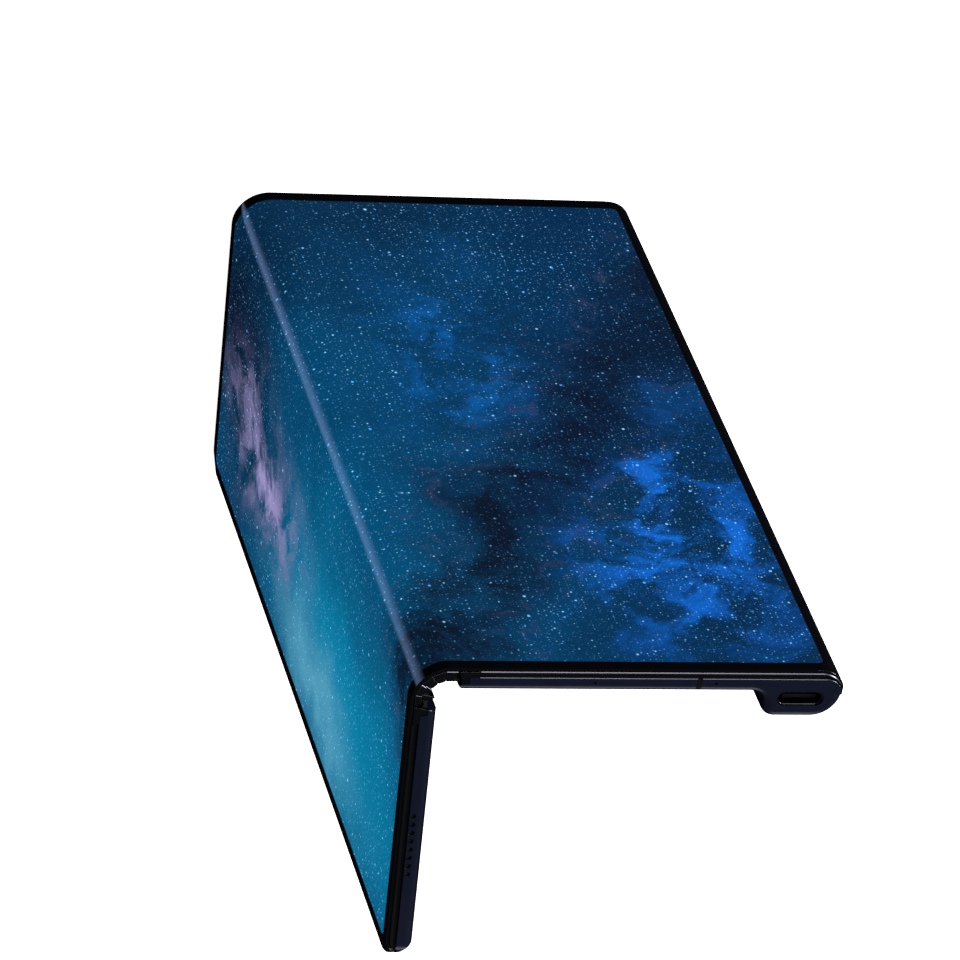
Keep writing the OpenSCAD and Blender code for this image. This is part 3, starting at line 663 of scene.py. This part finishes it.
def grained(name, colour, other, roughness, grain=5000.0, depth=0.000004, **sockets):
    """A surface with fine grain in its height, and a second tone in slow patches."""
    made, tree, shader = material(name, colour, **sockets)
    place = coordinates(tree)
    group = use_group(tree, GRAIN, {"Place": place, "Grain": grain, "Roughness": roughness})
    bump = wire(tree, "ShaderNodeBump", None,
                {"Height": group.outputs["Height"], "Strength": 0.35, "Distance": depth})
    tone = blend_colours(tree, ramp(tree, clouds(tree, place, 90.0, 5), 0.35, 0.65), colour, other)
    tree.links.new(tone, shader.inputs["Base Color"])
    tree.links.new(group.outputs["Roughness"], shader.inputs["Roughness"])
    tree.links.new(bump.outputs["Normal"], shader.inputs["Normal"])
    return made


def screen_material():
    """The film's glass over the lit picture. Its marked faces stay black and dull."""
    made, tree, shader = material("screen_glass", (0.0012, 0.0012, 0.002), Roughness=0.09, IOR=1.45,
                                  Emission_Strength=1.0)
    place = wire(tree, "ShaderNodeVectorMath", {"operation": "SCALE"},
                 {0: coordinates(tree, "UV"), "Scale": 1000.0}).outputs[0]
    sky = use_group(tree, SKY, {"Place": place})
    window = use_group(tree, WINDOW, {"Place": place, "Low": PICTURE_LOW, "High": PICTURE_HIGH,
                                      "Corner": PICTURE_CORNER})
    lit = blend_colours(tree, window.outputs["Mask"], (0.0, 0.0, 0.0), sky.outputs["Color"])
    tree.links.new(lit, shader.inputs["Emission Color"])
    smear = ramp(tree, clouds(tree, coordinates(tree), 45.0, 5, 0.7), 0.35, 0.75, 0.06, 0.14)
    across = wire(tree, "ShaderNodeSeparateXYZ", None, {"Vector": place}).outputs["X"]
    side = maths(tree, "LESS_THAN", across, SIDE_MARK / 2)
    sheen = ramp(tree, side, 0.0, 1.0, 0.5, 0.04)
    tree.links.new(sheen, shader.inputs["Specular IOR Level"])
    tree.links.new(maths(tree, "ADD", smear, maths(tree, "MULTIPLY", side, 0.5)),
                   shader.inputs["Roughness"])
    return made


SCREEN = screen_material()
NAVY = grained("navy_anodised", (0.014, 0.017, 0.041), (0.018, 0.021, 0.048), 0.30,
               Metallic=0.9)
HINGE = grained("dark_hinge_steel", (0.014, 0.014, 0.018), (0.020, 0.020, 0.025), 0.28,
                grain=2600.0, Metallic=1.0)
EDGE = grained("polished_frame_edge", (0.037, 0.037, 0.043), (0.032, 0.032, 0.038), 0.26,
               Metallic=1.0)
CUT = grained("cut_edge_steel", (0.07, 0.07, 0.08), (0.06, 0.06, 0.07), 0.40, grain=2600.0,
              Metallic=1.0)
WEB = grained("hinge_web_rubber", (0.006, 0.006, 0.007), (0.009, 0.009, 0.010), 0.7, grain=1500.0,
              Specular_IOR_Level=0.15)
PLATE = grained("plate_metal", (0.5, 0.5, 0.52), (0.42, 0.42, 0.45), 0.35, Metallic=1.0)
SCREW = grained("screw_steel", (0.4, 0.4, 0.42), (0.3, 0.3, 0.32), 0.3, Metallic=1.0)
# Steel darkened nearly to black: painted shade, as the shell sits deep in the dark slot
SHADED_SOCKET = grained("socket_steel", (0.035, 0.035, 0.045), (0.025, 0.025, 0.032), 0.25, Metallic=1.0)
BLACK = grained("black_plastic", (0.002, 0.002, 0.003), (0.003, 0.003, 0.004), 0.5, grain=3000.0,
                Specular_IOR_Level=0.06)
# Gold darkened: painted shade of the contacts deep in the slot
SHADED_GOLD = grained("contact_gold_painted_shade", (0.22, 0.15, 0.06), (0.16, 0.11, 0.045), 0.3, Metallic=1.0)
PACK = grained("battery_foil", (0.03, 0.03, 0.035), (0.045, 0.045, 0.05), 0.45, grain=900.0)
BOARD = grained("solder_mask", (0.01, 0.06, 0.03), (0.014, 0.075, 0.035), 0.35, grain=700.0)
RING = grained("camera_ring", (0.03, 0.034, 0.06), (0.022, 0.026, 0.05), 0.2, Metallic=1.0)
SCREENING = grained("speaker_screen", (0.02, 0.02, 0.022), (0.04, 0.04, 0.042), 0.5,
                    grain=9000.0, depth=0.00002, Metallic=0.6)


def back_glass(name, colour, other):
    made, tree, shader = material(name, colour, Roughness=0.08, IOR=1.5, Coat_Weight=0.6,
                                  Coat_Roughness=0.03)
    place = coordinates(tree)
    tone = blend_colours(tree, ramp(tree, clouds(tree, place, 14.0, 3), 0.3, 0.7), colour, other)
    tree.links.new(tone, shader.inputs["Base Color"])
    smear = ramp(tree, clouds(tree, place, 45.0, 5, 0.7), 0.35, 0.75, 0.05, 0.15)
    tree.links.new(smear, shader.inputs["Roughness"])
    return made


BACK = back_glass("blue_back_glass", (0.008, 0.018, 0.07), (0.012, 0.03, 0.10))
STRIP = back_glass("black_strip_glass", (0.004, 0.005, 0.008), (0.006, 0.007, 0.012))


def ringed(name, colours, step, **sockets):
    """Colour in rings by the distance from a turned piece's axis."""
    made, tree, shader = material(name, colours[0], **sockets)
    split = wire(tree, "ShaderNodeSeparateXYZ", None, {"Vector": coordinates(tree, "UV")})
    turn = maths(tree, "FRACT", maths(tree, "DIVIDE", split.outputs["X"], step))
    tone = blend_colours(tree, ramp(tree, turn, 0.35, 0.65), colours[0], colours[1])
    tree.links.new(tone, shader.inputs["Base Color"])
    return made


LENS = ringed("coated_lens", ((0.006, 0.007, 0.012), (0.03, 0.02, 0.06)), 0.0011,
              Roughness=0.04, Coat_Weight=1.0, IOR=1.6)
FLASH = ringed("flash_lens", ((0.78, 0.72, 0.5), (0.6, 0.52, 0.3)), 0.00035, Roughness=0.2)


# Display: flat panels from the solids, and a bend in six strips that turn from slat to slat

def unroll_main(point):
    """How far along the unrolled display a point lies, in millimetres from the first line."""
    x, y = main_place(point)
    if x < FLAT_X:
        x = FLAT_X - GRIP_R * math.atan2(FLAT_X - x, GRIP_MID - y)
    return x


def unroll_thin(point):
    """The same for a point on the thin half."""
    x, y = thin_place(point)
    edge = THIN_WIDTH - THIN_LIP_R
    if x > edge:
        x = edge + THIN_LIP_R * math.atan2(x - edge, THIN_LIP_MID - y)
    return LINKS * PITCH + x


def at_film_end(point):
    return abs(from_end(point) - FILM_INSET) < ON_FACE


def at_bend(point):
    """Whether a point of the film lies where a flat panel meets the bend."""
    off = min(abs(main_place(point)[0] + PITCH / 2), abs(thin_place(point)[0] - PITCH / 2))
    return off < 2 * SEAT_GAP


def display_panel(node, name, body, unroll):
    """A flat panel of the film with rounded edges at both ends, and its unrolled map."""
    piece = merged_copy(node, name)
    mesh = piece.data
    chamfer(mesh, lambda point: at_film_end(point) and not at_bend(point), FILM_ROUND, FILM_RINGS)
    layer = mesh.uv_layers.new(name="unrolled")
    for face in mesh.polygons:
        mark = SIDE_MARK * MM if abs(face.normal.z) > FILM_FACING else 0
        for loop_index in face.loop_indices:
            point = mesh.vertices[mesh.loops[loop_index].vertex_index].co
            layer.data[loop_index].uv = (unroll(point) * MM + mark, point.z)
    shade(mesh, True)
    weigh_normals(piece)
    settle(piece)
    return finished(piece, body, SCREEN, [node])


def film_stations(strip):
    """Points along one strip: outer and inner place, outward direction and unrolled distance."""
    centre = (PITCH / 2, BEND_R - PIVOT_DEPTH)
    stations = []
    for i in range(STRIP_STATIONS + 1):
        t = i / STRIP_STATIONS
        if strip == 1:
            turn = 0.0
            s = -PITCH / 2 - SEAT_GAP + t * (PITCH + SEAT_GAP)
            out = (s, -PIVOT_DEPTH)
        elif strip == LINKS + 1:
            turn = FOLD
            q = t * (PITCH + SEAT_GAP)
            s = (LINKS - 0.5) * PITCH + q
            out = (centre[0] + BEND_R * math.sin(turn) + q * math.cos(turn),
                   centre[1] - BEND_R * math.cos(turn) + q * math.sin(turn))
        else:
            turn = (strip - 2 + t) * STEP_ANGLE
            s = PITCH / 2 + PITCH * turn / STEP_ANGLE
            out = (centre[0] + BEND_R * math.sin(turn), centre[1] - BEND_R * math.cos(turn))
        normal = Vector((math.sin(turn), -math.cos(turn), 0))
        outer = Vector((*out, 0))
        stations.append((outer, outer - normal * FILM, normal, s))
    return stations


def slat_middle(k):
    """The place amid slat k at the turning lines' depth. 0 is the main half, 6 the thin half."""
    if k == 0:
        return on_main(-PITCH / 2, 0, 0)
    if k == LINKS + 1:
        return on_thin(PITCH / 2, 0, 0)
    turn = (k - 1) * STEP_ANGLE
    return FOLD_LINES[k - 1] + Vector((math.cos(turn), math.sin(turn), 0)) * PITCH / 2 * MM


def display_strip(strip):
    """One strip of the bend, from the middle of a slat to that of the next, lit on its outside."""
    stations = film_stations(strip)
    ends = (FILM_INSET, LENGTH - FILM_INSET)
    vertices, normals, uvs = [], [], []
    for outer, inner, normal, s in stations:
        for point, side in ((outer, normal), (inner, -normal)):
            for z in ends:
                vertices.append(FIRST_LINE + (point + Vector((0, 0, z))) * MM)
                normals.append(side)
                uvs.append((s * MM, z * MM))
    faces = []
    for i in range(STRIP_STATIONS):
        a, b = 4 * i, 4 * i + 4
        faces += [(a, b, b + 1, a + 1), (a + 2, a + 3, b + 3, b + 2),
                  (a, a + 2, b + 2, b), (a + 1, b + 1, b + 3, a + 3)]
    last = 4 * STRIP_STATIONS
    faces += [(0, 1, 3, 2), (last, last + 2, last + 3, last + 1)]
    smooth = [True, True, False, False] * STRIP_STATIONS + [False, False]
    lit = [True, False, False, False] * STRIP_STATIONS + [False, False]
    mesh = mesh_of(f"display_strip_{strip}", vertices, faces, uvs)
    layer = mesh.uv_layers["unrolled"]
    for face in mesh.polygons:
        if not lit[face.index]:
            for loop_index in face.loop_indices:
                layer.data[loop_index].uv.x += SIDE_MARK * MM
    mesh.polygons.foreach_set("use_smooth", smooth)
    mesh.normals_split_custom_set([
        normals[index] if smooth[face.index] else face.normal.copy()
        for face in mesh.polygons for index in face.vertices
    ])
    piece = new_object(f"display_strip_{strip}", mesh)
    piece.data.materials.append(SCREEN)
    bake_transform(piece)
    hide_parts("display_bend")


def hinge_web(k):
    """A black web that closes the notch about joint k, between the deep sides of its two pieces."""
    top, deep, middle_top, middle_deep = 2.1, 2.97, 2.3, 2.9
    overlap, inset = 0.02, 0.8
    line = FOLD_LINES[k - 1]
    before, after = max(k - 2, 0) * STEP_ANGLE, min(k - 1, LINKS - 1) * STEP_ANGLE

    def place(turn, across, depth):
        x = across * math.cos(turn) - depth * math.sin(turn)
        y = across * math.sin(turn) + depth * math.cos(turn)
        return line + Vector((x, y, 0)) * MM

    def side(depth):
        return CLOSED_GAP / 2 + depth * TAPER - overlap

    outline = [place(before, -side(top), top), place(before, -side(deep), deep),
               place((before + after) / 2, 0, middle_deep),
               place(after, side(deep), deep), place(after, side(top), top),
               place((before + after) / 2, 0, middle_top)]
    low, high = Vector((0, 0, inset * MM)), Vector((0, 0, (LENGTH - inset) * MM))
    count = len(outline)
    vertices = [point - Vector((0, 0, line.z)) + end for end in (low, high) for point in outline]
    faces = [(i, (i + 1) % count, (i + 1) % count + count, i + count) for i in range(count)]
    faces += [tuple(range(count)), tuple(range(2 * count - 1, count - 1, -1))]
    mesh = mesh_of(f"hinge_web_{k}", vertices, faces)
    shape = bmesh.new()
    shape.from_mesh(mesh)
    bmesh.ops.recalc_face_normals(shape, faces=shape.faces)
    shape.to_mesh(mesh)
    shape.free()
    piece = new_object(f"hinge_web_{k}", mesh)
    piece.data.materials.append(WEB)
    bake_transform(piece)


display_panel("display_main", "display_main_panel", "main_half", unroll_main)
display_panel("display_thin", "display_thin_panel", "thin_half", unroll_thin)
for number in range(1, LINKS + 2):
    display_strip(number)
    hinge_web(number)

# Frames, covers, hinge and buttons

for half, below, more in (("main", below_main_outline, ()),
                          ("thin", below_thin_outline, ((at_thin_start, WIDE_FLAT),))):
    flats = ((end_edge(below, GROOVE_Y, GROOVE_STEP), WIDE_FLAT),
             (end_edge(below, SEAT_Y, SEAT_STEP), NARROW_FLAT), *more)
    # Painted shade: black on the lip's end faces and in the groove behind them
    paint_lip_shade_black(
        machined(f"{half}_frame", f"{half}_frame_machined", f"{half}_half", NAVY,
                 chosen=flats, bare=EDGE),
        below,
    )
machined("main_back_cover", "main_back_glass", "main_half", BACK, 0.15, 3)
machined("thin_back_cover", "thin_back_glass", "thin_half", BACK, 0.15, 3)
machined("grip_cover", "grip_strip_glass", "main_half", STRIP, 0.12, 3)
machined("usb_shell", "socket_shell", "main_half", SHADED_SOCKET, 0.08)
machined("usb_tongue", "socket_tongue", "main_half", BLACK, 0.12)
machined("camera_rings", "camera_rings_turned", "main_half", RING, 0.15, 3)
machined("hinge_bracket_main", "bracket_main_milled", "main_half", HINGE, 0.14,
         1, bare=CUT)
machined("hinge_bracket_thin", "bracket_thin_milled", "thin_half", HINGE, 0.2,
         1, bare=CUT)
for number in range(1, LINKS + 1):
    machined(f"hinge_link_{number}", f"slat_{number}_milled", f"link_{number}",
             HINGE, 0.14, 1, bare=CUT)
for name in ("power_button", "volume_rocker", "release_button", "card_tray"):
    machined(name, f"{name}_milled", name, NAVY, 0.12)

# Plain inner pieces keep their solids
for node, finish in (
    ("main_midplate", PLATE), ("thin_midplate", PLATE), ("board_shields", PLATE),
    ("vibration_motor", PLATE), ("camera_modules", BLACK), ("speaker_module", BLACK),
    ("antenna_bands", BLACK), ("main_circuit_board", BOARD), ("thin_circuit_board", BOARD),
    ("battery_main", PACK), ("battery_thin", PACK),
    ("bracket_screws_main", SCREW), ("bracket_screws_thin", SCREW),
):
    NODES[node].data.materials.clear()
    NODES[node].data.materials.append(finish)

# Camera lenses and flash, turned and set in the strip cover
lens_profile = [(0, 0.0), (2.1, 0.0), (2.1, 0.42), (1.95, 0.52), (1.55, 0.52), (1.45, 0.36),
                (1.1, 0.34), (1.0, 0.22), (0.7, 0.34), (0.4, 0.40), (0, 0.42)]
row_of("camera_lens_stacks", mesh_of("lens", *turned(lens_profile, 48)), CAMERAS,
       on_main(STRIP_X, STRIP_Y, CAMERA_Z), (0, 0, CAMERA_STEP * MM), "main_half",
       LENS, ["camera_lenses"], smooth=True)
flash_profile = [(0, -6.9), (1.4, -6.9), (1.4, 0.5), (1.3, 0.62)]
flash_ribs, rib_step = 5, 0.24
for rib in range(flash_ribs):
    flash_profile += [(1.22 - rib_step * rib, 0.62), (1.12 - rib_step * rib, 0.52)]
flash_profile.append((0, 0.6))
row_of("flash_lens_ribbed", mesh_of("flash", *turned(flash_profile, 40)), 1,
       on_main(STRIP_X, STRIP_Y, CAMERA_Z + CAMERAS * CAMERA_STEP), (0, 0, 0), "main_half",
       FLASH, ["flash_window"], smooth=True)

# Socket contacts on both faces of the tongue, in gold darkened as painted shade
contacts, contact_step, contact_size = 12, 0.5, (0.26, 0.03, 3.2)
contact_lift, contact_depth = 0.002, 3.1
for side, label in ((-1, "upper"), (1, "lower")):
    row_of(f"socket_contacts_{label}", mesh_of("contact", *box_shape(contact_size)), contacts,
           on_main(SOCKET_X - (contacts - 1) / 2 * contact_step,
                   SOCKET_Y + side * (TONGUE_T / 2 + contact_lift), LENGTH - contact_depth),
           (contact_step * MM, 0, 0), "main_half", SHADED_GOLD)

# Screens behind the speaker holes
screen_r, screen_t, screen_depth = 0.54, 0.05, 0.6
screen_profile = [(0, 0), (screen_r, 0), (screen_r, screen_t), (0, screen_t)]
screen_vertices, screen_faces, screen_uvs = turned(screen_profile, 16)
upright = Matrix.Rotation(math.pi / 2, 3, "X")
row_of("speaker_screens",
       mesh_of("speaker_screen", [upright @ v for v in screen_vertices], screen_faces, screen_uvs),
       SPEAKER_HOLES, on_thin(SPEAKER_X, PANEL_MID, LENGTH - screen_depth),
       thin_axes()[0] * SPEAKER_STEP * MM, "thin_half", SCREENING)


# Stage, lights and camera

def floor():
    """A plain pale floor to the camera, nearly black to everything that mirrors it."""
    half = 6
    made, tree, shader = material("pale_floor", (0.8, 0.8, 0.8), Roughness=0.9)
    output = tree.nodes["Material Output"]
    path = wire(tree, "ShaderNodeLightPath")
    bright = wire(tree, "ShaderNodeEmission", None, {"Color": (1, 1, 1, 1), "Strength": 0.92})
    both = wire(tree, "ShaderNodeAddShader", None, {0: shader.outputs[0], 1: bright.outputs[0]})
    dim = wire(tree, "ShaderNodeBsdfDiffuse", None, {"Color": (0.006, 0.006, 0.007, 1)})
    mix = wire(tree, "ShaderNodeMixShader", None,
               {0: path.outputs["Is Camera Ray"], 1: dim.outputs[0], 2: both.outputs[0]})
    tree.links.new(mix.outputs[0], output.inputs["Surface"])
    corners = [(-half, -half, 0), (half, -half, 0), (half, half, 0), (-half, half, 0)]
    shape = new_object("floor", mesh_of("floor", corners, [(0, 1, 2, 3)]))
    shape.data.materials.append(made)


def world():
    """White to the camera, and a weak cool light to the rest."""
    made = bpy.data.worlds.new("studio")
    made.use_nodes = True
    tree = made.node_tree
    path = wire(tree, "ShaderNodeLightPath")
    soft = wire(tree, "ShaderNodeBackground", None, {"Color": (0.85, 0.92, 1, 1), "Strength": 0.26})
    white = wire(tree, "ShaderNodeBackground", None, {"Color": (1, 1, 1, 1), "Strength": 1.0})
    mix = wire(tree, "ShaderNodeMixShader", None,
               {0: path.outputs["Is Camera Ray"], 1: soft.outputs[0], 2: white.outputs[0]})
    output = next(n for n in tree.nodes if n.type == "OUTPUT_WORLD")
    tree.links.new(mix.outputs[0], output.inputs["Surface"])
    bpy.context.scene.world = made


def fold_card():
    """A card on the floor beside the fold, seen only in mirror images: the light band's source.

    It is a fan about the fold's foot, with the share of its sweep as its map.
    """
    foot = slat_middle(3)
    start, sweep, reach, height = math.radians(-28), math.radians(50), 0.16, 0.0004
    steps = 24
    vertices, faces = [Vector((foot.x, foot.y, height))], []
    for i in range(steps + 1):
        a = start + sweep * i / steps
        x, y = foot.x + reach * math.cos(a), foot.y + reach * math.sin(a)
        vertices.append(Vector((x, y, height)))
        if i:
            faces.append((0, i, i + 1))
    mesh = mesh_of("fold_card", vertices, faces)
    layer = mesh.uv_layers.new(name="share")
    for face in mesh.polygons:
        for loop_index in face.loop_indices:
            index = mesh.loops[loop_index].vertex_index
            step = index - 1 if index else face.index + 0.5
            layer.data[loop_index].uv = (step / steps, 0)
    made = bpy.data.materials.new("fold_card")
    made.use_nodes = True
    tree = made.node_tree
    split = wire(tree, "ShaderNodeSeparateXYZ", None, {"Vector": coordinates(tree, "UV")})
    share = split.outputs["X"]
    fade = maths(tree, "MULTIPLY", ramp(tree, share, 0.0, 0.62), ramp(tree, share, 1.0, 0.7))
    light = wire(tree, "ShaderNodeEmission", None,
                 {"Color": (0.37, 0.56, 1.0, 1), "Strength": maths(tree, "MULTIPLY", fade, 1.95)})
    tree.links.new(light.outputs[0], tree.nodes["Material Output"].inputs["Surface"])
    card = new_object("fold_card", mesh)
    card.data.materials.append(made)
    card.visible_camera = False
    card.visible_diffuse = False
    card.visible_shadow = False


def soft_light(name, place, target, size, watts, colour=(1, 1, 1)):
    data = bpy.data.lights.new(name, "AREA")
    data.size, data.energy, data.color = size, watts, colour
    lamp = bpy.data.objects.new(name, data)
    lamp.location = place
    lamp.rotation_mode = "QUATERNION"
    lamp.rotation_quaternion = (Vector(target) - Vector(place)).to_track_quat("-Z", "Y")
    lamp.visible_camera = False
    bpy.context.scene.collection.objects.link(lamp)


floor()
world()
fold_card()
soft_light("key", (-0.35, -0.84, 0.94), (0, 0, 0.16), 0.5, 10)
soft_light("side", (-1.0, -0.48, 0.55), (-0.04, -0.03, 0.16), 0.3, 22)
soft_light("low", (-0.233, 0.651, 0.30), (-0.03, 0, 0.16), 0.25, 0.45, (1.0, 0.97, 0.85))

camera_data = bpy.data.cameras.new("camera")
camera_data.lens = 258.646
camera_data.sensor_width = 36
camera_data.clip_start, camera_data.clip_end = 0.05, 20
camera = bpy.data.objects.new("camera", camera_data)
bpy.context.scene.collection.objects.link(camera)
bpy.context.scene.camera = camera
right = Vector((-0.958278, -0.172025, 0.228275))
up = Vector((0.013796, -0.825527, -0.564193))
back = Vector((0.285503, -0.537506, 0.793458))
turn = Matrix((right, up, back)).transposed().to_4x4()
camera.matrix_world = Matrix.Translation((0.384206, -0.728529, 1.126752)) @ turn
bpy.context.scene.view_settings.view_transform = "Standard"
